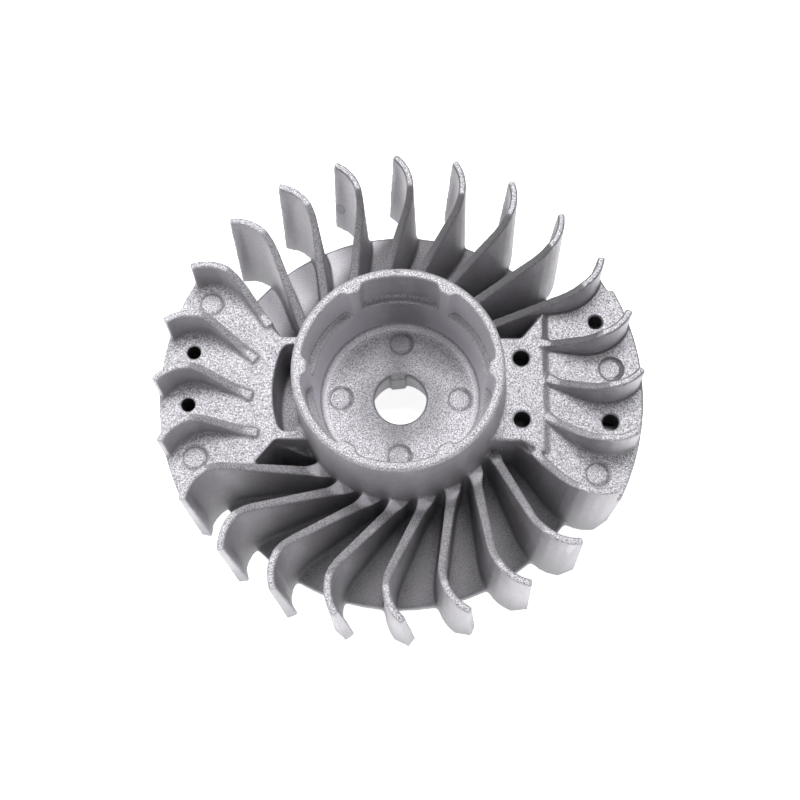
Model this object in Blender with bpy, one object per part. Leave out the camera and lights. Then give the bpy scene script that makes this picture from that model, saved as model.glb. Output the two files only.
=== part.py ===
"""Magneto flywheel of a small two-stroke engine, in metres.

The crankshaft's axis is +Z through the origin, and the origin is on the back plane, which
faces the engine. +Z points out of the starter cup. The pole shoes are on the +X side and
the counterweight is on the -X side. Lengths below are in millimetres and angles in degrees
unless a name says otherwise; the meshes are scaled to metres when they are made.
"""
import math

import bmesh
import bpy

MM = 0.001
GAP = 0.3                      # clearance between neighbouring pieces
OVERCUT = 1.0                  # how far a cutter reaches past the face it opens

# Fan blades
BLADES = 24
BLADE_PITCH = 360 / BLADES
BLADE_START = 1.7              # angle of the first blade's tip
TIP_R = 52.0                   # end of the hooks at the top of the blades
TIP_RUN = 0.4                  # straight run that ends each blade, beyond the hook
TIP_FLARE = 1.0                # the casting draft takes the hooks this much further out at the back
TIP_CURL = 1.5                 # and their ends this much further round
BLADE_ROOT_R = 21.5            # inner ends, buried in the cup's wall
ROOT_FLARE_X = 27.6            # where the blades start to flare into the cup's wall
ROOT_FLARE = 0.7               # half thickness that the flare adds
ROOT_RISE = 2.0                # height that it adds to the top edge
ROOT_STATIONS = (0.12, 0.16, 0.21, 0.27)  # shares of the straight part, from the root
BLADE_TOP = 33.5
BLADE_BACK = 0.9
BLADE_HALF = 0.8               # half thickness at the top
BLADE_DRAFT = math.tan(math.radians(0.9))
HOOK_R = 9.5                   # bend of the hooked outer third
HOOK_END = 48.0                # direction of the tip, from the radius
FLANK_DIR = -23.7              # direction of the straight inner part
TOP_BREAK = 44.8               # inboard of this the top edge slopes down to the hub
TOP_SLOPE = 0.86
TIP_CORNER = (2.2, 1.9)        # rounding of the tips' back corners: along the radius, and in height
HOOK_STEPS = 6

# Back web, hub and starter cup
WEB_R = 45.9
WEB_BACK = 0.6
WEB_TOP = 4.4
EDGE = 0.4                     # break of the turned edges
CUP_RIM = 38.3
CUP_RIM_R = 22.5
CUP_ROOT_R = 24.0
LAND_R = 19.05                 # ratchet lands at the rim
POCKET_R = 20.5                # ratchet pockets between them
POCKET_BITE = 2.0              # how far inside the lands the pockets' tool reaches
LEDGE = 28.0                   # floor of the pockets
LANDS = 6
CUP_STEPS = 72
LAND_HALF = 3.2                # half angle of a land's face
FLANK_HALF = 7.0               # half angle where its flanks meet the pockets
LAND_RELIEF = 0.6              # the tool narrows each land's face by this angle, inside it
FLOOR = 16.1
FLOOR_R = 16.45
FLOOR_FILLET = 1.8
BORE_R = 5.85                  # taper bore at the cup's floor
BORE_BACK_R = 7.25
BORE_BACK = 4.0                # the taper ends at this height
BORE_MOUTH_R = 8.9
HUB_R = 12.6
HUB_RING_R = 20.4              # outer wall of the ring-shaped hollow behind the floor
HUB_HOLLOW = 10.5
KEY_ANGLE = 97.0
KEY_HALF = 1.7
KEY_HEIGHT = 1.05
KEY_BURIED = 1.0               # how far the key's body reaches into the bore's wall

# Blocks on both sides of the cup
BLOCK_HALF = 12.0              # half width next to the cup
BLOCK_ROOT = 33.9              # half angle of the edge buried in the cup's wall
BLOCK_CORNER = 27.0
BLOCK_SHOULDER = (31.0, 17.0)  # where the widening edge meets the longer blade
BLOCK_SPAN = 2                 # blade pitches from the block's middle to its edge blades
BLOCK_EDGE_RUN = {-1: 7.8, 1: 6.2}  # how far inboard of the hooks the edges follow the blades
SHORT_BLADES = (-2, -1, 0, 1)  # blade pitches from the block's middle to the blades that end on it
END_X = (32.5, 35.6)           # their blunt ends, and where the ends run into the blades
END_TOP = (24.9, 25.3)
END_HALF = (1.05, 0.9)
END_LOW = 21.0                 # buried in the block
MAGNET_RIM_R = 54.0
MAGNET_RIM_ENDS = (1.0, 5.0)   # angles between the rim's ends and the edge blades
RIM_STEP_R = 52.8              # small step at the end of the rim
RIM_STEP_ENDS = (4.4, 0.8)
WEIGHT_RIM_R = 53.0
WEIGHT_RIM_END = 0.6
MAGNET_TOP = 23.4
PAD_TOP = 24.6                 # flat pad next to the cup
PAD_EDGE = 31.6
PAD_RAMP = 1.4                 # the edge slopes down over this length
PAD_BACK = 20.0                # buried in the block
PAD_LOW = 14.6                 # the pad's outer corners
PAD_HIGH = 17.8
WEIGHT_TOP = 24.0

# Core-pin holes, which held the inserts in the mould
PIN_R = 1.8
PIN_STEPS = 20
SMALL_PIN_R = 1.52
PAD_PIN = (26.9, 7.1)
MAGNET_PINS = ((47.0, -8.8, PIN_R), (46.8, 20.4, SMALL_PIN_R))
WEIGHT_PINS = ((46.6, 170.3, SMALL_PIN_R), (46.6, 185.3, SMALL_PIN_R))

# Kidney slot next to the cup, on the counterweight side
KIDNEY_OUT = 28.0
KIDNEY_HALF = 17.5
KIDNEY_FLOOR = 8.5
KIDNEY_BITE = 0.2              # the slot's inner wall is this far inside the cup's

# Pole shoes: two riveted stacks of sheet steel, with the magnet between them
SHEETS = 10
SHEET_T = 0.9
SHOE_BACK = 5.0
SHOE_INNER = ((25.0, 4.6), (42.0, 4.6), (46.0, 6.0))
SHOE_OUTER = ((46.0, 19.0), (38.0, 15.5), (29.0, 11.0), (25.0, 10.0))
SHOE_FACE = (7.2, 21.5)        # angles of the face at the rim
RIVETS = ((31.0, 7.9), (46.0, 12.4))
RIVET_R = 1.3
RIVET_HEAD_R = 2.1
RIVET_HEAD = 0.7
MAGNET_X = (27.5, 41.5)
MAGNET_HALF = SHOE_INNER[0][1] - GAP
MAGNET_ROOM = 0.4              # reaches just past the shoes' room, so the hollows join

# Counterweight slug, let into the back
SLUG_R = (33.5, 49.5)
SLUG_HALF = 19.0
SLUG_BACK = 0.6
SLUG_TOP = 12.5

SHEET_PITCH = SHEET_T + GAP
SHOE_TOP = SHOE_BACK + SHEETS * SHEET_PITCH - GAP
HEAD_REACH = GAP + RIVET_HEAD  # how far a rivet's head stands above the stack
SHOE_CAVITY = (SHOE_BACK - HEAD_REACH - GAP, SHOE_TOP + HEAD_REACH + GAP)


def polar(r, degrees):
    """Point at a radius and an angle from +X."""
    a = math.radians(degrees)
    return r * math.cos(a), r * math.sin(a)


def arc(r, start, end, steps, centre=(0.0, 0.0)):
    """Points on an arc, both ends included."""
    points = []
    for i in range(steps + 1):
        x, y = polar(r, start + (end - start) * i / steps)
        points.append((centre[0] + x, centre[1] + y))
    return points


def circle(r, steps, centre):
    """Points on a whole circle."""
    return arc(r, 0, 360, steps, centre)[:-1]


def turned_points(points, degrees):
    """Plan points turned about the axis."""
    c = math.cos(math.radians(degrees))
    s = math.sin(math.radians(degrees))
    return [(x * c - y * s, x * s + y * c) for x, y in points]


def mirrored(points):
    """Plan points mirrored in the X axis, in the order that keeps the area positive."""
    return [(x, -y) for x, y in reversed(points)]


def grown(points, by):
    """A counter-clockwise outline moved outwards by a distance, with sharp corners."""
    result = []
    for i, (x, y) in enumerate(points):
        ax, ay = points[i - 1]
        bx, by_ = points[(i + 1) % len(points)]
        n1 = unit(y - ay, ax - x)
        n2 = unit(by_ - y, x - bx)
        scale = by / (1 + n1[0] * n2[0] + n1[1] * n2[1])
        result.append((x + (n1[0] + n2[0]) * scale, y + (n1[1] + n2[1]) * scale))
    return result


def unit(x, y):
    """A vector's direction."""
    length = math.hypot(x, y)
    return x / length, y / length


def material(name, colour, roughness, metallic):
    """A Principled material."""
    mat = bpy.data.materials.new(name)
    mat.use_nodes = True
    shader = mat.node_tree.nodes["Principled BSDF"]
    shader.inputs["Base Color"].default_value = (*colour, 1.0)
    shader.inputs["Roughness"].default_value = roughness
    shader.inputs["Metallic"].default_value = metallic
    return mat


def finished(name, mesh_builder, mat=None):
    """An object from a bmesh in millimetres, with its faces pointing out."""
    bmesh.ops.recalc_face_normals(mesh_builder, faces=mesh_builder.faces)
    bmesh.ops.scale(mesh_builder, vec=(MM, MM, MM), verts=mesh_builder.verts)
    mesh = bpy.data.meshes.new(name)
    mesh_builder.to_mesh(mesh)
    mesh_builder.free()
    mesh.shade_smooth()
    mesh.set_sharp_from_angle(angle=math.radians(30))
    if mat:
        mesh.materials.append(mat)
    obj = bpy.data.objects.new(name, mesh)
    bpy.context.scene.collection.objects.link(obj)
    return obj


def join_rings(bm, first, second):
    """Side faces between two closed rings of vertices."""
    for i in range(len(first)):
        j = (i + 1) % len(first)
        bm.faces.new((first[i], first[j], second[j], second[i]))


def add_loft(bm, rings):
    """A closed solid through rings of points, with a flat face at each end."""
    loops = [[bm.verts.new(p) for p in ring] for ring in rings]
    bm.faces.new(loops[0])
    bm.faces.new(loops[-1])
    for first, second in zip(loops, loops[1:]):
        join_rings(bm, first, second)


def add_prism(bm, outline, low, high):
    """A straight prism on a plan outline."""
    add_loft(bm, [[(x, y, z) for x, y in outline] for z in (low, high)])


def prisms(name, outlines, low, high, mat=None):
    """Prisms of one height in one object."""
    bm = bmesh.new()
    for outline in outlines:
        add_prism(bm, outline, low, high)
    return finished(name, bm, mat)


def turned(name, profile, steps, mat=None):
    """A ring-shaped body turned from a closed profile of radius and height."""
    bm = bmesh.new()
    rings = []
    for i in range(steps):
        angle = 360 * i / steps
        rings.append([bm.verts.new((*polar(r, angle), z)) for r, z in profile])
    for i in range(steps):
        join_rings(bm, rings[i], rings[(i + 1) % steps])
    return finished(name, bm, mat)


def spindle(name, profile, centre, steps, mat=None):
    """A solid turned body on its own upright axis, from its low end to its high end."""
    bm = bmesh.new()
    add_loft(bm, [[(x, y, z) for x, y in circle(r, steps, centre)] for r, z in profile])
    return finished(name, bm, mat)


def combine(target, tool, operation):
    """Boolean the tool into the target, and keep the tool as a hidden guide."""
    modifier = target.modifiers.new(tool.name, "BOOLEAN")
    modifier.operation = operation
    modifier.solver = "EXACT"
    modifier.object = tool
    tool.hide_render = True
    tool.display_type = "WIRE"


def blade_stations():
    """Centre line of a blade whose tip is on +X: place, outward direction and hook share."""
    centre = (TIP_R - HOOK_R * math.sin(math.radians(HOOK_END)),
              HOOK_R * math.cos(math.radians(HOOK_END)))
    stations = []
    for i in range(HOOK_STEPS + 1):
        share = i / HOOK_STEPS
        direction = FLANK_DIR + (HOOK_END - FLANK_DIR) * share
        x, y = arc(HOOK_R, direction - 90, 0, 1, centre)[0]
        stations.append((x, y, direction, share))
    x, y = stations[0][:2]
    step = (x - BLADE_ROOT_R) / math.cos(math.radians(FLANK_DIR))
    inner = []
    for share in (0.0, *ROOT_STATIONS):
        dx, dy = polar(step * (1 - share), FLANK_DIR)
        inner.append((x - dx, y - dy, FLANK_DIR, 0.0))
    ex, ey = polar(TIP_RUN, HOOK_END)
    return [*inner, *stations, (TIP_R + ex, ey, HOOK_END, 1.0)]


def blade_top(x):
    """Height of a blade's top edge, which slopes down to the hub and sweeps up its wall."""
    return BLADE_TOP - TOP_SLOPE * max(0.0, TOP_BREAK - x) + ROOT_RISE * root_share(x)


def root_share(x):
    """How far a blade has flared into the cup's wall: 0 off the wall, 1 at the wall."""
    near = min(1.0, max(0.0, (ROOT_FLARE_X - x) / (ROOT_FLARE_X - CUP_ROOT_R)))
    return near * near


def blade_back(x):
    """Height of a blade's back edge, with a rounded outer corner."""
    length, height = TIP_CORNER
    share = min(1.0, max(0.0, 1 - (TIP_R - x) / length))
    return BLADE_BACK + height * (1 - math.sqrt(1 - share * share))


def add_blade(bm, degrees):
    """One blade: the draft makes it thicker and longer towards the back."""
    sections = []
    for x, y, direction, share in blade_stations():
        section = []
        for z, order in ((blade_back(x), 1), (blade_top(x), -1)):
            depth = BLADE_TOP - z
            half = BLADE_HALF + depth * BLADE_DRAFT + ROOT_FLARE * root_share(x)
            out = TIP_FLARE * min(1.0, 2 * share) * depth / BLADE_TOP
            round_by = TIP_CURL * max(0.0, 1 - (1 - share) * HOOK_STEPS) * depth / BLADE_TOP
            nx, ny = polar(half * order, direction + 90)
            sides = [(x + out + nx, y + round_by + ny), (x + out - nx, y + round_by - ny)]
            section += [(*p, z) for p in turned_points(sides, degrees)]
        sections.append(section)
    add_loft(bm, sections)


def fan():
    """All the blades, which don't touch each other."""
    bm = bmesh.new()
    for i in range(BLADES):
        add_blade(bm, BLADE_START + i * BLADE_PITCH)
    return finished("guide_blades", bm)


def blade_ends():
    """Blunt inner ends of the blades that stand on the blocks."""
    bm = bmesh.new()
    flank_x, flank_y = blade_stations()[len(ROOT_STATIONS) + 1][:2]
    slope = math.tan(math.radians(FLANK_DIR))
    for middle in (0.0, 180.0):
        for place in SHORT_BLADES:
            sections = []
            for x, top, half in zip(END_X, END_TOP, END_HALF):
                y = flank_y - (flank_x - x) * slope
                nx, ny = polar(half, FLANK_DIR + 90)
                sides = [(x + nx, y + ny), (x - nx, y - ny)]
                left, right = turned_points(sides, BLADE_START + place * BLADE_PITCH + middle)
                sections.append([(*left, END_LOW), (*right, END_LOW), (*right, top), (*left, top)])
            add_loft(bm, sections)
    return finished("guide_blade_ends", bm)


def hub_and_web():
    """Taper hub, starter cup and the web that carries the blades."""
    fillet = arc(FLOOR_FILLET, 0, -90, 3, (FLOOR_R, FLOOR + FLOOR_FILLET))
    profile = [
        (WEB_R, WEB_BACK),
        (WEB_R, WEB_TOP - EDGE),
        (WEB_R - EDGE, WEB_TOP),
        (CUP_ROOT_R + 1.6, WEB_TOP),
        (CUP_ROOT_R + 0.4, WEB_TOP + 0.5),
        (CUP_ROOT_R - 0.1, WEB_TOP + 1.8),
        (CUP_RIM_R + 0.05, CUP_RIM - 0.5),
        (CUP_RIM_R - 0.45, CUP_RIM),
        (LAND_R + EDGE, CUP_RIM),
        (LAND_R, CUP_RIM - EDGE),
        (LAND_R - 0.3, LEDGE),
        *fillet,
        (BORE_R + EDGE, FLOOR),
        (BORE_R, FLOOR - EDGE),
        (BORE_BACK_R, BORE_BACK),
        (BORE_MOUTH_R, 0.0),
        (HUB_R - EDGE, 0.0),
        (HUB_R, EDGE),
        (HUB_R + 0.6, HUB_HOLLOW - 1.2),
        (HUB_R + 1.8, HUB_HOLLOW),
        (HUB_RING_R - 1.8, HUB_HOLLOW),
        (HUB_RING_R - 0.4, HUB_HOLLOW - 1.4),
        (HUB_RING_R, WEB_BACK),
    ]
    aluminium = material("cast_aluminium", (0.62, 0.62, 0.64), 0.42, 1.0)
    return turned("flywheel_casting", profile, CUP_STEPS, aluminium)


def block_edge(side):
    """Centre line of a block's edge blade, from just inboard of its hook to its tip."""
    line = [(x, y) for x, y, _, _ in blade_stations()[len(ROOT_STATIONS) + 1:-1]]
    x, y = line[0]
    dx, dy = polar(BLOCK_EDGE_RUN[side], FLANK_DIR)
    return turned_points([(x - dx, y - dy)] + line, BLADE_START + side * BLOCK_SPAN * BLADE_PITCH)


def block_outline(rim):
    """Outline of a block on the +X side, between the centre lines of its edge blades."""
    return [
        (BLOCK_CORNER, -BLOCK_HALF),
        *block_edge(-1),
        *rim,
        *reversed(block_edge(1)),
        BLOCK_SHOULDER,
        (BLOCK_CORNER, BLOCK_HALF),
        *arc(BLADE_ROOT_R, BLOCK_ROOT, -BLOCK_ROOT, 8),
    ]


def magnet_block():
    """Block over the pole shoes, whose rim ends in a small step under the longer blade."""
    low = BLADE_START - BLOCK_SPAN * BLADE_PITCH
    high = BLADE_START + BLOCK_SPAN * BLADE_PITCH
    rim = arc(MAGNET_RIM_R, low + MAGNET_RIM_ENDS[0], high - MAGNET_RIM_ENDS[1], 12)
    rim += arc(RIM_STEP_R, high - RIM_STEP_ENDS[0], high - RIM_STEP_ENDS[1], 1)
    return prisms("guide_magnet_block", [block_outline(rim)], 0.0, MAGNET_TOP)


def pad():
    """Raised flat pad between the magnet block's outer part and the cup."""
    rings = []
    foot = PAD_EDGE + PAD_RAMP
    for z, edge in ((PAD_BACK, foot), (MAGNET_TOP, foot), (PAD_TOP, PAD_EDGE)):
        outline = [
            (BLOCK_CORNER, -BLOCK_HALF),
            (edge, -PAD_LOW),
            (edge, PAD_HIGH),
            BLOCK_SHOULDER,
            (BLOCK_CORNER, BLOCK_HALF),
            *arc(BLADE_ROOT_R, BLOCK_ROOT, -BLOCK_ROOT, 8),
        ]
        rings.append([(x, y, z) for x, y in outline])
    bm = bmesh.new()
    add_loft(bm, rings)
    return finished("guide_pad", bm)


def weight_block():
    """Block over the counterweight, on the other side of the cup."""
    low = BLADE_START - BLOCK_SPAN * BLADE_PITCH
    high = BLADE_START + BLOCK_SPAN * BLADE_PITCH
    rim = arc(WEIGHT_RIM_R, low + WEIGHT_RIM_END, high - WEIGHT_RIM_END, 12)
    outline = turned_points(block_outline(rim), 180)
    return prisms("guide_weight_block", [outline], 0.0, WEIGHT_TOP)


def key():
    """Cast key in the taper bore, parallel to its wall."""
    rings = []
    for z, bore in ((BORE_BACK, BORE_BACK_R), (FLOOR - EDGE, BORE_R)):
        inner = bore - KEY_HEIGHT
        outer = bore + KEY_BURIED
        corners = [(inner, -KEY_HALF), (outer, -KEY_HALF), (outer, KEY_HALF), (inner, KEY_HALF)]
        rings.append([(*p, z) for p in turned_points(corners, KEY_ANGLE)])
    bm = bmesh.new()
    add_loft(bm, rings)
    return finished("guide_key", bm)


def ratchet_pockets():
    """Hollows between the starter cup's lands."""
    step = 360 / LANDS
    outlines = []
    for i in range(LANDS):
        start = i * step
        end = start + step
        outlines.append([
            polar(LAND_R - POCKET_BITE, start + LAND_HALF - LAND_RELIEF),
            polar(LAND_R, start + LAND_HALF),
            *arc(POCKET_R, start + FLANK_HALF, end - FLANK_HALF, 9),
            polar(LAND_R, end - LAND_HALF),
            polar(LAND_R - POCKET_BITE, end - LAND_HALF + LAND_RELIEF),
        ])
    return prisms("guide_ratchet_pockets", outlines, LEDGE, CUP_RIM + OVERCUT)


def kidney_slot():
    """Core slot between the cup and the counterweight block."""
    first = 180 - KIDNEY_HALF
    last = 180 + KIDNEY_HALF
    rings = []
    for z in (KIDNEY_FLOOR, WEIGHT_TOP + OVERCUT):
        share = (z - WEB_TOP) / (CUP_RIM - WEB_TOP)
        inner = CUP_ROOT_R + (CUP_RIM_R - CUP_ROOT_R) * share - KIDNEY_BITE
        mid = (inner + KIDNEY_OUT) / 2
        end_r = (KIDNEY_OUT - inner) / 2
        outline = [
            *arc(KIDNEY_OUT, first, last, 8),
            *arc(end_r, last, last + 180, 6, polar(mid, last))[1:-1],
            *arc(inner, last, first, 8),
            *arc(end_r, first + 180, first + 360, 6, polar(mid, first))[1:-1],
        ]
        rings.append([(x, y, z) for x, y in outline])
    bm = bmesh.new()
    add_loft(bm, rings)
    return finished("guide_kidney_slot", bm)


def pin_holes():
    """Core-pin holes from the blocks' faces down to the inserts."""
    places = [(polar(r, a), hole) for r, a, hole in MAGNET_PINS]
    places += [((PAD_PIN[0], y), PIN_R) for y in (-PAD_PIN[1], PAD_PIN[1])]
    bm = bmesh.new()
    for centre, hole in places:
        add_prism(bm, circle(hole, PIN_STEPS, centre), SHOE_CAVITY[1] - OVERCUT, PAD_TOP + OVERCUT)
    for r, a, hole in WEIGHT_PINS:
        add_prism(bm, circle(hole, PIN_STEPS, polar(r, a)), SLUG_TOP - OVERCUT, WEIGHT_TOP + OVERCUT)
    return finished("guide_pin_holes", bm)


def shoe_outline():
    """Outline of a pole shoe's sheet, from the magnet's side to its face at the rim."""
    return [*SHOE_INNER, *arc(MAGNET_RIM_R, *SHOE_FACE, 4), *SHOE_OUTER]


def magnet_outline():
    """Outline of the magnet between the pole shoes."""
    low, high = MAGNET_X
    side = MAGNET_HALF
    return [(low, -side), (high, -side), (high, side), (low, side)]


def slug_outline():
    """Outline of the counterweight, a thick sector."""
    first = 180 - SLUG_HALF
    last = 180 + SLUG_HALF
    return arc(SLUG_R[1], first, last, 8) + arc(SLUG_R[0], last, first, 8)


def casting():
    """The whole die casting: cup, hub, web, blades and blocks, with hollows for the inserts."""
    body = hub_and_web()
    for tool in (fan(), magnet_block(), pad(), weight_block(), blade_ends(), key()):
        combine(body, tool, "UNION")
    shoes = [grown(shoe_outline(), GAP), grown(mirrored(shoe_outline()), GAP)]
    magnet_room = grown(magnet_outline(), MAGNET_ROOM)
    slug_room = grown(slug_outline(), GAP)
    hollows = (
        ratchet_pockets(),
        kidney_slot(),
        pin_holes(),
        prisms("guide_shoe_cavities", shoes, *SHOE_CAVITY),
        prisms("guide_magnet_cavity", [magnet_room], SHOE_BACK - GAP, SHOE_TOP + GAP),
        prisms("guide_slug_cavity", [slug_room], -OVERCUT, SLUG_TOP + GAP),
    )
    for tool in hollows:
        combine(body, tool, "DIFFERENCE")


def pole_shoes():
    """Two stacks of sheets, each held by two rivets."""
    steel = material("sheet_steel", (0.30, 0.30, 0.32), 0.5, 1.0)
    rivet_steel = material("rivet_steel", (0.45, 0.45, 0.46), 0.4, 1.0)
    low = SHOE_BACK - HEAD_REACH
    high = SHOE_TOP + HEAD_REACH
    for side, flip in (("upper", 1), ("lower", -1)):
        outline = shoe_outline() if flip > 0 else mirrored(shoe_outline())
        centres = [(x, y * flip) for x, y in RIVETS]
        holes = prisms(f"guide_{side}_rivet_holes",
                       [circle(RIVET_R + GAP, 12, c) for c in centres], low, high)
        for i in range(SHEETS):
            z = SHOE_BACK + i * SHEET_PITCH
            sheet = prisms(f"{side}_shoe_sheet_{i + 1:02d}", [outline], z, z + SHEET_T, steel)
            combine(sheet, holes, "DIFFERENCE")
        for i, centre in enumerate(centres):
            profile = [
                (RIVET_HEAD_R - EDGE, low),
                (RIVET_HEAD_R, low + EDGE),
                (RIVET_HEAD_R, low + RIVET_HEAD),
                (RIVET_R, low + RIVET_HEAD),
                (RIVET_R, high - RIVET_HEAD),
                (RIVET_HEAD_R, high - RIVET_HEAD),
                (RIVET_HEAD_R, high - EDGE),
                (RIVET_HEAD_R - EDGE, high),
            ]
            spindle(f"{side}_shoe_rivet_{i + 1}", profile, centre, 16, rivet_steel)


def inserts():
    """The magnet and the counterweight."""
    ferrite = material("magnet_alloy", (0.12, 0.12, 0.13), 0.55, 0.3)
    steel = material("weight_steel", (0.38, 0.38, 0.40), 0.45, 1.0)
    prisms("magnet", [magnet_outline()], SHOE_BACK, SHOE_TOP, ferrite)
    prisms("counterweight", [slug_outline()], SLUG_BACK, SLUG_TOP, steel)


def main():
    for obj in list(bpy.data.objects):
        bpy.data.objects.remove(obj)
    casting()
    pole_shoes()
    inserts()


main()
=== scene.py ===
"""Looks of a small engine's magneto flywheel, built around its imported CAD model.

The crankshaft's axis is +Z through the origin. The casting and its material are worked out in
millimetres, the rest of the scene in metres.
"""

import math

import bmesh
import bpy
import numpy as np
from mathutils import Matrix, Vector


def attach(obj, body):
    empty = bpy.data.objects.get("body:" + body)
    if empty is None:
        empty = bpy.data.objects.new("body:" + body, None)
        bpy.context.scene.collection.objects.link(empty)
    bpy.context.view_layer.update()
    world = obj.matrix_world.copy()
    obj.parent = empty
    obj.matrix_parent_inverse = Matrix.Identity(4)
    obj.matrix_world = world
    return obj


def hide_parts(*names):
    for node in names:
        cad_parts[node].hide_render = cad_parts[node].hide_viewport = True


MM = 0.001

# The fine casting: radii, heights and half widths in mm, angles in degrees
VOXEL = 0.30                  # about a fifth of a blade's thickness
TRIANGLES = 190_000
FILL_STEPS = 60               # passes that fill the corners between blades, web and cup
BLOCK_FILL_STEPS = 14         # passes on the blocks' faces
ROOT_FILL_STEPS = 8           # passes where the blades' tops meet the cup
CUP_FILL_STEPS = 8            # passes inside the cup and round the holes
ROUNDING_STEPS = 4            # smoothing passes, which round the edges
STEP_SHARE = 0.5              # share of the way to its neighbours' middle that a vertex moves
NORMALS_EVERY = 6             # fill passes between two updates of the normals
BORE_KEPT_R = 8.0             # the bore and its key stay crisp
CUP_R = 22.0                  # the cup lies inside this
ROOTS_R = 28.0                # the blades' roots lie inside this
ROOTS_FROM = 12.0
BLOCKS_R = 27.0               # the blocks' faces lie outside this
BLOCKS_FROM = 21.0
BLOCK_SPAN = 32.0             # half angle over a block
HOLES = ((26.9, 7.1), (26.9, -7.1), (46.45, -7.19), (43.86, 16.31), (-45.93, 7.85), (-46.4, -4.3))
HOLE_CLEARANCE = 3.2
KIDNEY_R = 29.0               # the kidney-shaped opening lies inside this
KIDNEY_SPAN = 24.0            # half angle over it
KIDNEY_FROM = 7.5
POCKETS_R = 32.0              # the pockets for the inserts lie outside this
POCKETS_X = 24.0              # and further than this from the axis along X
POCKETS_HALF_Y = 21.0
POCKETS_TO = 18.5

# Marks pressed into the casting, in mm and degrees
EJECTOR_R = 2.5
CUP_EJECTORS_R = 13.5         # from the axis
BLOCK_EJECTORS = ((47.2, 6.2), (47.2, -23.7), (47.0, 155.3), (47.0, 200.3))
MARK_DEPTH = 0.2
MARK_TILT = 0.5               # the marks are this share deeper on one side
MARK_GROOVE = 0.4
MARK_GROOVE_WIDTH = 0.28
MARKS_FROM = 10.0             # height
MARKS_SLOPE = 0.9             # least upward part of the normal of a marked face
RIM_NICK = (21.9, 91.5)       # a nick in the cup's rim
NICK_DEPTH = 0.45
NICK_WIDTH = 0.45

# Where the casting's shades change. Each pair is where a change starts and ends: heights and
# distances in mm, slopes as the upward part of the normal, sharpness as pointiness.
LEVEL_SLOPES = (0.90, 0.985)
TILTED_SLOPES = (0.15, 0.50)
EDGES = (0.515, 0.57)
CORNERS = (0.42, 0.485)
WEB_TO_BLADES = (3.0, 12.0)   # heights over which the painted shade on level and sloping faces fades out
WEB_TO_TOPS = (3.0, 22.0)     # the same for the painted shade on the walls
TIPS = (43.0, 50.0)           # radii over which painted light on the blades' walls grows towards the tips
# where painted light lies on the left and right of the cup's inner wall
CUP_WALL_R = (20.8, 21.6)
CUP_WALL_FROM = (17.0, 18.0)
CUP_WALL_LEFT = (-14.0, 0.0)  # along X
CUP_WALL_RIGHT = (2.0, 14.0)
SHADED_TOPS_SIDE = 55.0              # degrees; painted shade darkens the blades' tops towards this side
SHADED_TOPS = (12.0, 34.0)
LIT_WEB_SIDE = 138.0        # degrees; painted light brightens the web towards this side
LIT_WEB = (32.0, 37.5)
LEDGES_FROM = (26.5, 27.5)    # heights of the ledges round the cup's pockets, which get painted shade
LEDGES_TO = (28.5, 29.5)
LEDGES_R = (20.6, 21.0)
MARK_RIM = (0.08, 0.30)       # distances from an ejector mark's rim, over which painted shade lies in its groove
FLOOR_TO = (17.5, 18.3)       # height at which the fillet round the cup's floor ends
RING_STARTS = (16.3, 17.0)    # radii of the painted highlight on that fillet
RING_ENDS = (17.5, 18.0)
STREAK_X = -0.6               # middle of the streak of painted shade across the floor, along Y
STREAK_HALF = (0.5, 4.5)
STREAK_R = (15.1, 16.6)
STREAK_Y = (-16.0, 6.0)       # the streak gets stronger over this stretch
BORE_DARK_R = (7.0, 14.5)         # the floor's darkening round the bore fades out between these
FLOOR_DARK_FROM = (13.0, 14.0)
WALL_SHADOW_Y = (-2.0, 11.0)        # the painted shadow of the cup's wall on the floor gets stronger over this stretch
WALL_SHADOW_R = (15.0, 17.0)
ROOTS_START = (23.6, 24.2)    # radii of the painted highlights at the blades' roots
ROOTS_END = (25.2, 27.4)
ROOTS_SLOPE = (0.25, 0.6)
ROOTS_LOW = (13.0, 16.0)
ROOTS_HIGH = (19.0, 20.5)
ROOTS_Y = (13.5, 15.5)        # nearer the X axis lie the openings beside the blocks, in painted shade
# where painted shade lies inside the core-pin holes
HOLE_R = (2.0, 2.3)
HOLE_SLOPE = (0.2, 0.5)
HOLE_TO = (20.5, 21.5)
SCAR = (-15.3, 48.6, 13.9)    # an oval scar on one hook
SCAR_SIZE = (1.1, 3.0, 2.4)   # its half widths along X, Y and Z
SCAR_OUTLINE = 0.85           # its outline, as a share of those
SCAR_OUTLINE_WIDTH = (0.08, 0.25)
SCAR_INSIDE = (0.7, 0.9)

# Steels of the nodes that stay: word in the node's name, material, colour, roughness, grains per mm
STEELS = (
    ("sheet", "sheet_steel_fine", (0.30, 0.30, 0.32), 0.45, 3.0),
    ("rivet", "rivet_steel_fine", (0.45, 0.45, 0.46), 0.38, 4.0),
    ("magnet", "magnet_alloy_fine", (0.12, 0.12, 0.13), 0.50, 2.0),
    ("counterweight", "weight_steel_fine", (0.38, 0.38, 0.40), 0.42, 2.5),
)

# Studio: each softbox's name, place, diameter and power in watts
SOFTBOXES = (
    ("key_light", (0.04, 0.29, 0.88), 0.38, 7.0),
    ("side_light", (-0.66, 0.05, 0.40), 0.40, 1.8),
    ("fill_light", (0.20, -0.74, 0.25), 0.60, 1.0),
)
SOFTBOXES_AIM = Vector((0, 0, 0.02))
WORLD_BRIGHTNESS = 0.36
FLOOR_HALF = 3.0
FLOOR_GAP = 0.0002            # below the flywheel's back

# Camera
CAMERA_AT = Vector((7.0, -80.9, 269.3)) * MM
CAMERA_ELEVATION = 72.41      # degrees above the horizon
CAMERA_ROLL = 0.534           # degrees
CAMERA_LENS = 52.64
CAMERA_SHIFT = (-0.039, 0.0022)
CAMERA_CLIP = 0.01

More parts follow.
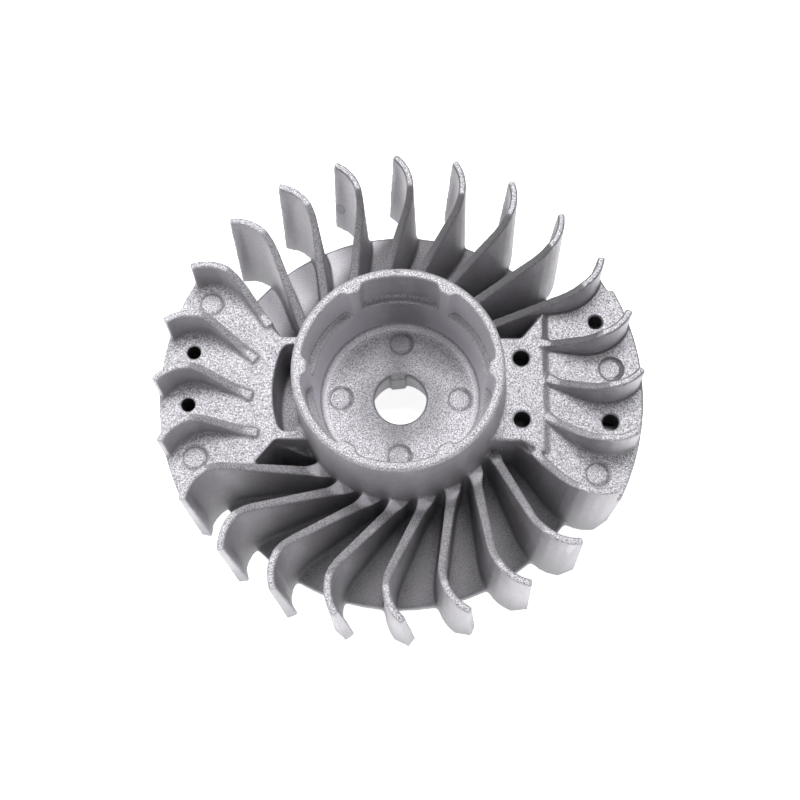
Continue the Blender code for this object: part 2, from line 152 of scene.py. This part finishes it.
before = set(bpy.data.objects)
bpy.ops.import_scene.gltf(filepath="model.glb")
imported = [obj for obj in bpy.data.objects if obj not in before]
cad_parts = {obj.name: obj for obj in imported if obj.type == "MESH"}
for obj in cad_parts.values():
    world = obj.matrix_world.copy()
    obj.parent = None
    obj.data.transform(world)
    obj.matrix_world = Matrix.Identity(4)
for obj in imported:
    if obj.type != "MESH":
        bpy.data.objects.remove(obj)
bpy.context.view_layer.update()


def new_object(name, data):
    """An object in the scene."""
    obj = bpy.data.objects.new(name, data)
    bpy.context.scene.collection.objects.link(obj)
    return obj


def evaluated(obj):
    """A copy of the object's mesh with its modifiers applied."""
    graph = bpy.context.evaluated_depsgraph_get()
    return bpy.data.meshes.new_from_object(obj.evaluated_get(graph))


# ---------------------------------------------------------------- casting

def polar(r, degrees):
    a = math.radians(degrees)
    return r * math.cos(a), r * math.sin(a)


def ejector_marks():
    """Centres of the ejector pins' marks, in mm."""
    cup = [polar(CUP_EJECTORS_R, a) for a in (0, 90, 180, 270)]
    return cup + [polar(r, a) for r, a in BLOCK_EJECTORS]


def read_places(mesh):
    """Vertex places and normals as arrays."""
    count = len(mesh.vertices)
    places = np.empty(count * 3, np.float32)
    normals = np.empty(count * 3, np.float32)
    mesh.vertices.foreach_get("co", places)
    mesh.vertex_normals.foreach_get("vector", normals)
    return places.reshape(-1, 3), normals.reshape(-1, 3)


def write_places(mesh, places):
    mesh.vertices.foreach_set("co", places.ravel())
    mesh.update()


def fill_passes(places):
    """How many fill passes each vertex gets: most off the cup's inside, the blocks and the holes."""
    x, y, z = places.T
    r = np.hypot(x, y)
    wide = r > CUP_R
    for hole_x, hole_y in HOLES:
        wide &= np.hypot(x - hole_x, y - hole_y) > HOLE_CLEARANCE
    side = np.degrees(np.arctan2(y, -x))
    kidney = (r < KIDNEY_R) & (np.abs(side) < KIDNEY_SPAN) & (z > KIDNEY_FROM)
    pockets = (r > POCKETS_R) & (np.abs(x) > POCKETS_X) & (np.abs(y) < POCKETS_HALF_Y) & (z < POCKETS_TO)
    passes = np.where(wide & ~kidney & ~pockets, FILL_STEPS, CUP_FILL_STEPS)
    on_block = (np.abs(side) < BLOCK_SPAN) | (np.abs(side) > 180 - BLOCK_SPAN)
    on_block &= (z > BLOCKS_FROM) & (r > BLOCKS_R)
    passes[on_block & (passes > BLOCK_FILL_STEPS)] = BLOCK_FILL_STEPS
    at_root = (r < ROOTS_R) & (z > ROOTS_FROM)
    passes[at_root & (passes > ROOT_FILL_STEPS)] = ROOT_FILL_STEPS
    passes[r < BORE_KEPT_R] = 0
    return passes


def round_like_casting(mesh):
    """Fills the inner corners with fillets, then softens all the edges a little."""
    ends = np.empty(len(mesh.edges) * 2, np.int32)
    mesh.edges.foreach_get("vertices", ends)
    first, second = ends[0::2], ends[1::2]
    count = len(mesh.vertices)
    joined = np.bincount(ends, minlength=count).astype(np.float32)

    def pull(places):
        """From each vertex to the middle of its neighbours."""
        middle = np.empty_like(places)
        for k in range(3):
            axis = places[:, k]
            total = np.bincount(first, axis[second], count) + np.bincount(second, axis[first], count)
            middle[:, k] = total / joined
        return middle - places

    places, normals = read_places(mesh)
    passes = fill_passes(places)
    for step in range(FILL_STEPS):
        outward = np.maximum((pull(places) * normals).sum(axis=1), 0) * (passes > step)
        places += normals * (STEP_SHARE * outward)[:, None]
        if (step + 1) % NORMALS_EVERY == 0:
            write_places(mesh, places)
            normals = read_places(mesh)[1]
    for step in range(ROUNDING_STEPS):
        places += STEP_SHARE * pull(places)
    write_places(mesh, places)


def press_marks(mesh):
    """Presses the ejector pins' marks, each with a sharper rim, and the nick in the cup's rim."""
    places, normals = read_places(mesh)
    flat = (normals[:, 2] > MARKS_SLOPE) & (places[:, 2] > MARKS_FROM)
    for x, y in ejector_marks():
        r = np.hypot(places[:, 0] - x, places[:, 1] - y)
        tilt = 1 + MARK_TILT * (places[:, 0] - x) / EJECTOR_R
        groove = MARK_GROOVE * tilt * np.exp(-((r - EJECTOR_R) / MARK_GROOVE_WIDTH) ** 2)
        disc = MARK_DEPTH * tilt * (r < EJECTOR_R)
        places[:, 2] -= np.where(flat, groove + disc, 0.0)
    x, y = polar(*RIM_NICK)
    reach = np.hypot(places[:, 0] - x, places[:, 1] - y) / NICK_WIDTH
    places[:, 2] -= NICK_DEPTH * np.exp(-reach**2) * (places[:, 2] > BLOCKS_FROM)
    write_places(mesh, places)


def fine_casting():
    """The casting with the rounded edges and filled corners that die casting gives."""
    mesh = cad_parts["flywheel_casting"].data.copy()
    bm = bmesh.new()
    bm.from_mesh(mesh)
    bmesh.ops.remove_doubles(bm, verts=bm.verts, dist=1e-6)
    bm.to_mesh(mesh)
    bm.free()
    mesh.transform(Matrix.Scale(1 / MM, 4))
    mesh.materials.clear()
    piece = new_object("fine_casting", mesh)
    remesh = piece.modifiers.new("voxels", "REMESH")
    remesh.mode = "VOXEL"
    remesh.voxel_size = VOXEL
    dense = evaluated(piece)
    piece.modifiers.clear()
    piece.data = dense
    round_like_casting(dense)
    press_marks(dense)
    decimate = piece.modifiers.new("thin_out", "DECIMATE")
    decimate.ratio = min(1.0, TRIANGLES / (2 * len(dense.polygons)))
    piece.data = evaluated(piece)
    piece.modifiers.clear()
    piece.data.transform(Matrix.Scale(MM, 4))
    piece.data.shade_smooth()
    return piece


# ---------------------------------------------------------------- materials

class Nodes:
    """Short calls for a material's node tree."""

    def __init__(self, name):
        self.material = bpy.data.materials.new(name)
        self.material.use_nodes = True
        self.tree = self.material.node_tree
        self.shader = self.tree.nodes["Principled BSDF"]

    def add(self, kind, **values):
        node = self.tree.nodes.new(kind)
        for key, value in values.items():
            if hasattr(node, key):
                setattr(node, key, value)
            else:
                node.inputs[key.replace("_", " ")].default_value = value
        return node

    def link(self, output, target):
        self.tree.links.new(output, target)

    def millimetres(self):
        """Object coordinates in millimetres."""
        coordinates = self.add("ShaderNodeTexCoord")
        scale = self.add("ShaderNodeVectorMath", operation="SCALE")
        scale.inputs["Scale"].default_value = 1 / MM
        self.link(coordinates.outputs["Object"], scale.inputs[0])
        return scale.outputs[0]

    def split(self, vector):
        """A vector's three parts."""
        node = self.add("ShaderNodeSeparateXYZ")
        self.link(vector, node.inputs[0])
        return [node.outputs[axis] for axis in "XYZ"]

    def vector(self, operation, place, other=(0, 0, 0), output="Vector"):
        """A place taken together with a constant vector."""
        node = self.add("ShaderNodeVectorMath", operation=operation)
        self.link(place, node.inputs[0])
        node.inputs[1].default_value = other
        return node.outputs[output]

    def noise(self, place, scale, detail=2.0, roughness=0.5):
        node = self.add("ShaderNodeTexNoise", Scale=scale, Detail=detail, Roughness=roughness)
        self.link(place, node.inputs["Vector"])
        return node.outputs["Fac"]

    def math(self, operation, a, b=0.0, c=0.0):
        node = self.add("ShaderNodeMath", operation=operation)
        for socket, value in zip(node.inputs, (a, b, c)):
            if isinstance(value, (int, float)):
                socket.default_value = value
            else:
                self.link(value, socket)
        return node.outputs[0]

    def product(self, first, *others):
        for other in others:
            first = self.math("MULTIPLY", first, other)
        return first

    def span(self, value, low, high, new_low=0.0, new_high=1.0):
        """Map a value's range to another one, smoothly and clamped."""
        node = self.add("ShaderNodeMapRange", interpolation_type="SMOOTHSTEP")
        self.link(value, node.inputs["Value"])
        ends = (("From Min", low), ("From Max", high), ("To Min", new_low), ("To Max", new_high))
        for name, number in ends:
            node.inputs[name].default_value = number
        return node.outputs["Result"]

    def fade(self, value, low, high):
        """1 below a range and 0 above it."""
        return self.span(value, low, high, 1.0, 0.0)

    def mix(self, share, a, b):
        """Mix two colours, or a colour and a socket."""
        node = self.add("ShaderNodeMix", data_type="RGBA")
        for socket, value in ((node.inputs["Factor"], share), (node.inputs["A"], a), (node.inputs["B"], b)):
            if isinstance(value, (int, float)):
                socket.default_value = value
            elif isinstance(value, tuple):
                socket.default_value = (*value, 1.0)
            else:
                self.link(value, socket)
        return node.outputs["Result"]

    def bump(self, height, strength, distance):
        node = self.add("ShaderNodeBump", Strength=strength, Distance=distance)
        self.link(height, node.inputs["Height"])
        return node.outputs["Normal"]


def metal(level):
    """The casting's slightly violet grey at a brightness."""
    return (level * 0.998, level * 0.972, level * 1.033)


class CastAluminium(Nodes):
    """Shot-blasted die casting: grainy flats, darker smooth walls, painted highlights on fillets and edges,
    and painted light and shade.
    """

    def __init__(self):
        super().__init__("cast_aluminium_fine")
        self.mm = self.millimetres()
        self.x, self.y, self.height = self.split(self.mm)
        squares = self.math("ADD", self.product(self.x, self.x), self.product(self.y, self.y))
        self.r = self.math("SQRT", squares)
        geometry = self.add("ShaderNodeNewGeometry")
        self.sharpness = geometry.outputs["Pointiness"]
        self.upward = self.split(geometry.outputs["Normal"])[2]
        self.tilted = self.span(self.upward, *TILTED_SLOPES)
        self.grain = self.noise(self.mm, 3.4, 4.0, 0.85)
        self.speckle = self.span(self.grain, 0.38, 0.62)
        self.shade_fades_up = self.span(self.height, *WEB_TO_BLADES)
        colour = self.mix(self.tilted, self.walls(), self.slopes())
        colour = self.mix(self.span(self.upward, *LEVEL_SLOPES), colour, self.flats())
        self.link(self.overlaid(colour), self.shader.inputs["Base Color"])
        fine = self.noise(self.mm, 7.0, 1.0, 0.5)
        rough = self.math("MULTIPLY_ADD", self.tilted, 0.08, self.span(fine, 0.3, 0.7, 0.42, 0.52))
        self.link(rough, self.shader.inputs["Roughness"])
        self.shader.inputs["Metallic"].default_value = 0.65
        depth = self.math("MULTIPLY_ADD", fine, 0.5, self.grain)
        self.link(self.bump(depth, 0.8, 0.16 * MM), self.shader.inputs["Normal"])

    def layer(self, colour, mask, share, level):
        """Metal of a brightness laid over a colour where the mask says."""
        return self.mix(self.product(mask, share), colour, metal(level))

    def along(self, degrees):
        """Distance from the axis towards a side, in mm."""
        return self.vector("DOT_PRODUCT", self.mm, (*polar(1, degrees), 0), "Value")

    def nearest(self, centres):
        """Level distance to the nearest of some places, in mm."""
        level_place = self.vector("MULTIPLY", self.mm, (1, 1, 0))
        nearest = None
        for x, y in centres:
            reach = self.vector("DISTANCE", level_place, (x, y, 0), "Value")
            nearest = reach if nearest is None else self.math("MINIMUM", nearest, reach)
        return nearest

    def walls(self):
        """Upright faces: tall faint patches and mottling, painted shade low down, painted light towards the
        tips and on the cup's inner wall.
        """
        tall_place = self.vector("MULTIPLY", self.mm, (1, 1, 0.25))
        uneven = self.span(self.noise(tall_place, 0.14, 1.0, 0.5), 0.35, 0.65)
        colour = self.mix(uneven, metal(0.34), metal(0.46))
        # painted shade: the walls get darker down towards the web
        colour = self.mix(self.span(self.height, *WEB_TO_TOPS), metal(0.22), colour)
        colour = self.layer(colour, self.speckle, 0.3, 0.62)
        mottle = self.span(self.noise(self.mm, 0.7, 3.0, 0.7), 0.35, 0.7)
        colour = self.layer(colour, mottle, 0.35, 0.26)
        # painted light on the walls towards the blades' tips
        colour = self.layer(colour, self.span(self.r, *TIPS), 0.15, 0.60)
        # painted light on the left and right of the cup's inner wall
        left = self.span(self.x, *CUP_WALL_LEFT, 1.0, 0.05)
        right = self.span(self.x, *CUP_WALL_RIGHT, 0.0, 0.8)
        in_cup = self.product(self.fade(self.r, *CUP_WALL_R), self.span(self.height, *CUP_WALL_FROM))
        return self.mix(self.product(self.math("ADD", left, right), in_cup), colour, metal(0.78))

    def slopes(self):
        """Sloping faces, mostly the blades' tops and the fillets, with painted shade low down and towards
        one side.
        """
        colour = self.mix(self.speckle, metal(0.20), metal(0.66))
        # painted shade on the slopes low down
        colour = self.mix(self.shade_fades_up, metal(0.26), colour)
        # painted shade on the blades' tops towards one side
        return self.layer(colour, self.span(self.along(SHADED_TOPS_SIDE), *SHADED_TOPS), 0.85, 0.13)

    def flats(self):
        """Level faces: the grainy blocks, floor and rim, the web in painted shade and painted light, the
        ledges in painted shade, and the ejector marks with painted shade in their grooves.
        """
        high = self.mix(self.speckle, metal(0.16), metal(0.92))
        web = self.mix(self.speckle, metal(0.16), metal(0.28))
        # painted light on the web towards one side
        lit_web = self.mix(self.speckle, metal(0.75), metal(1.0))
        web = self.mix(self.span(self.along(LIT_WEB_SIDE), *LIT_WEB), web, lit_web)
        # painted shade on the low web between the blades
        colour = self.mix(self.shade_fades_up, web, high)
        # painted shade on the ledges under the cup's wall
        ledge_shade = self.product(self.span(self.height, *LEDGES_FROM), self.fade(self.height, *LEDGES_TO))
        colour = self.layer(colour, self.product(ledge_shade, self.fade(self.r, *LEDGES_R)), 0.8, 0.26)
        # painted shade in the groove round each ejector mark
        off_rim = self.math("ABSOLUTE", self.math("SUBTRACT", self.nearest(ejector_marks()), EJECTOR_R))
        return self.layer(colour, self.fade(off_rim, *MARK_RIM), 0.6, 0.08)

    def overlaid(self, colour):
        """The colour under painted shade and a darker patch on the floor, painted highlights on fillets and
        edges, painted shade in corners, openings and holes, and a scar.
        """
        ring, shade_streak = self.floor_highlight_and_shade()
        root_highlights, opening_shade = self.root_highlights_and_opening_shade()
        layers = (
            # mask, share, brightness
            # painted shade in a streak across the cup's floor
            (shade_streak, 0.5, 0.14),
            # the floor darker round the bore, and a painted shadow of the cup's wall
            (self.darker_bore_and_wall_shadow(), 1.0, 0.16),
            # painted highlight on the fillet round the cup's floor
            (ring, 1.0, 0.95),
            # painted shade in concave corners
            (self.fade(self.sharpness, *CORNERS), 0.45, 0.12),
            # painted highlights at the blades' roots
            (root_highlights, 0.75, 0.95),
            # painted shade in the openings beside the blocks
            (opening_shade, 0.7, 0.08),
            # painted highlights along sharp edges
            (self.span(self.sharpness, *EDGES), 0.30, 0.80),
            (self.scar(), 0.5, 0.10),
            # painted shade inside the core-pin holes
            (self.hole_shade(), 0.9, 0.04),
        )
        for mask, share, level in layers:
            colour = self.layer(colour, mask, share, level)
        return colour

    def floor_highlight_and_shade(self):
        """The speckled painted highlight on the fillet round the cup's floor, and a streak of painted shade
        across the floor.
        """
        low = self.fade(self.height, *FLOOR_TO)
        ring = self.product(self.span(self.r, *RING_STARTS), self.fade(self.r, *RING_ENDS), low)
        ring = self.product(ring, self.math("MULTIPLY_ADD", self.speckle, 0.45, 0.35))
        off_middle = self.math("ABSOLUTE", self.math("SUBTRACT", self.x, STREAK_X))
        shade_streak = self.product(self.fade(off_middle, *STREAK_HALF), self.fade(self.r, *STREAK_R))
        return ring, self.product(shade_streak, self.span(self.y, *STREAK_Y, 0.5, 1.0), low)

    def darker_bore_and_wall_shadow(self):
        """The floor darker round the bore, and a painted shadow of the cup's wall over a wider part on the
        +Y side.
        """
        floor = self.span(self.height, *FLOOR_DARK_FROM)
        near = self.product(self.span(self.r, *BORE_DARK_R, 0.5, 0.0), floor)
        wide = self.product(self.span(self.y, *WALL_SHADOW_Y, 0.0, 0.55), self.fade(self.r, *WALL_SHADOW_R))
        return self.math("MAXIMUM", near, self.product(wide, floor))

    def root_highlights_and_opening_shade(self):
        """Painted highlights on the fillets at the blades' roots, and painted shade on those in the
        openings by the blocks.
        """
        ring = self.product(self.span(self.r, *ROOTS_START), self.fade(self.r, *ROOTS_END))
        ring = self.product(ring, self.span(self.upward, *ROOTS_SLOPE))
        ring = self.product(ring, self.span(self.height, *ROOTS_LOW), self.fade(self.height, *ROOTS_HIGH))
        off_x_axis = self.math("ABSOLUTE", self.y)
        root_highlights = self.product(ring, self.span(off_x_axis, *ROOTS_Y))
        return root_highlights, self.product(ring, self.fade(off_x_axis, *ROOTS_Y))

    def hole_shade(self):
        """Painted shade on the insides of the core-pin holes."""
        inside = self.fade(self.nearest(HOLES), *HOLE_R)
        steep = self.fade(self.upward, *HOLE_SLOPE)
        return self.product(inside, self.math("MAXIMUM", steep, self.fade(self.height, *HOLE_TO)))

    def scar(self):
        """The outline of the oval scar, and fainter its inside."""
        offset = self.vector("SUBTRACT", self.mm, SCAR)
        reach = self.vector("LENGTH", self.vector("DIVIDE", offset, SCAR_SIZE), output="Value")
        off_outline = self.math("ABSOLUTE", self.math("SUBTRACT", reach, SCAR_OUTLINE))
        outline = self.fade(off_outline, *SCAR_OUTLINE_WIDTH)
        return self.math("MAXIMUM", outline, self.span(reach, *SCAR_INSIDE, 0.35, 0.0))


def plain_steel(name, colour, rough, grains_per_mm):
    """Dull steel with a fine grain and darker patches."""
    n = Nodes(name)
    mm = n.millimetres()
    grain = n.noise(mm, grains_per_mm, 3.0, 0.6)
    patches = n.noise(mm, 0.35, 3.0, 0.6)
    dark = tuple(c * 0.55 for c in colour)
    n.link(n.mix(n.span(patches, 0.35, 0.7), colour, dark), n.shader.inputs["Base Color"])
    n.link(n.span(grain, 0.3, 0.7, rough - 0.08, rough + 0.1), n.shader.inputs["Roughness"])
    n.shader.inputs["Metallic"].default_value = 1.0
    n.link(n.bump(grain, 0.35, 0.06 * MM), n.shader.inputs["Normal"])
    return n.material


def floor_material():
    n = Nodes("floor_white")
    n.shader.inputs["Base Color"].default_value = (0.95, 0.95, 0.95, 1)
    n.shader.inputs["Roughness"].default_value = 0.9
    n.shader.inputs["Emission Color"].default_value = (1, 1, 1, 1)
    n.shader.inputs["Emission Strength"].default_value = 0.8
    return n.material


# ---------------------------------------------------------------- studio

def floor():
    bm = bmesh.new()
    bmesh.ops.create_grid(bm, x_segments=1, y_segments=1, size=FLOOR_HALF)
    mesh = bpy.data.meshes.new("floor")
    bm.to_mesh(mesh)
    bm.free()
    obj = new_object("floor", mesh)
    obj.location.z = -FLOOR_GAP
    mesh.materials.append(floor_material())


def softbox(name, place, size, power):
    """An area light aimed at the object."""
    light = bpy.data.lights.new(name, "AREA")
    light.shape = "DISK"
    light.size = size
    light.energy = power
    obj = new_object(name, light)
    obj.location = place
    obj.rotation_euler = (SOFTBOXES_AIM - Vector(place)).to_track_quat("-Z", "Y").to_euler()


def lights():
    for box in SOFTBOXES:
        softbox(*box)
    world = bpy.data.worlds.new("studio")
    bpy.context.scene.world = world
    world.use_nodes = True
    background = world.node_tree.nodes["Background"]
    background.inputs["Color"].default_value = (1, 1, 1, 1)
    background.inputs["Strength"].default_value = WORLD_BRIGHTNESS
    bpy.context.scene.view_settings.view_transform = "Standard"


def camera():
    elevation = math.radians(CAMERA_ELEVATION)
    roll = math.radians(CAMERA_ROLL)
    back = Vector((0, -math.cos(elevation), math.sin(elevation)))
    right = Vector((1, 0, 0))
    up = back.cross(right)
    turned_right = right * math.cos(roll) + up * math.sin(roll)
    turned_up = up * math.cos(roll) - right * math.sin(roll)
    data = bpy.data.cameras.new("camera")
    data.lens = CAMERA_LENS
    data.shift_x, data.shift_y = CAMERA_SHIFT
    data.clip_start = CAMERA_CLIP
    obj = new_object("camera", data)
    axes = Matrix((turned_right, turned_up, back)).transposed()
    obj.matrix_world = Matrix.Translation(CAMERA_AT) @ axes.to_4x4()
    bpy.context.scene.camera = obj


# ---------------------------------------------------------------- assembly

def dress_nodes():
    """Materials for the CAD nodes that stay."""
    for word, *look in STEELS:
        material = plain_steel(*look)
        for name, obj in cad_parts.items():
            if word in name:
                obj.material_slots[0].material = material


def main():
    casting = fine_casting()
    casting.data.materials.append(CastAluminium().material)
    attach(casting, "root")
    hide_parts("flywheel_casting")
    dress_nodes()
    floor()
    lights()
    camera()


main()
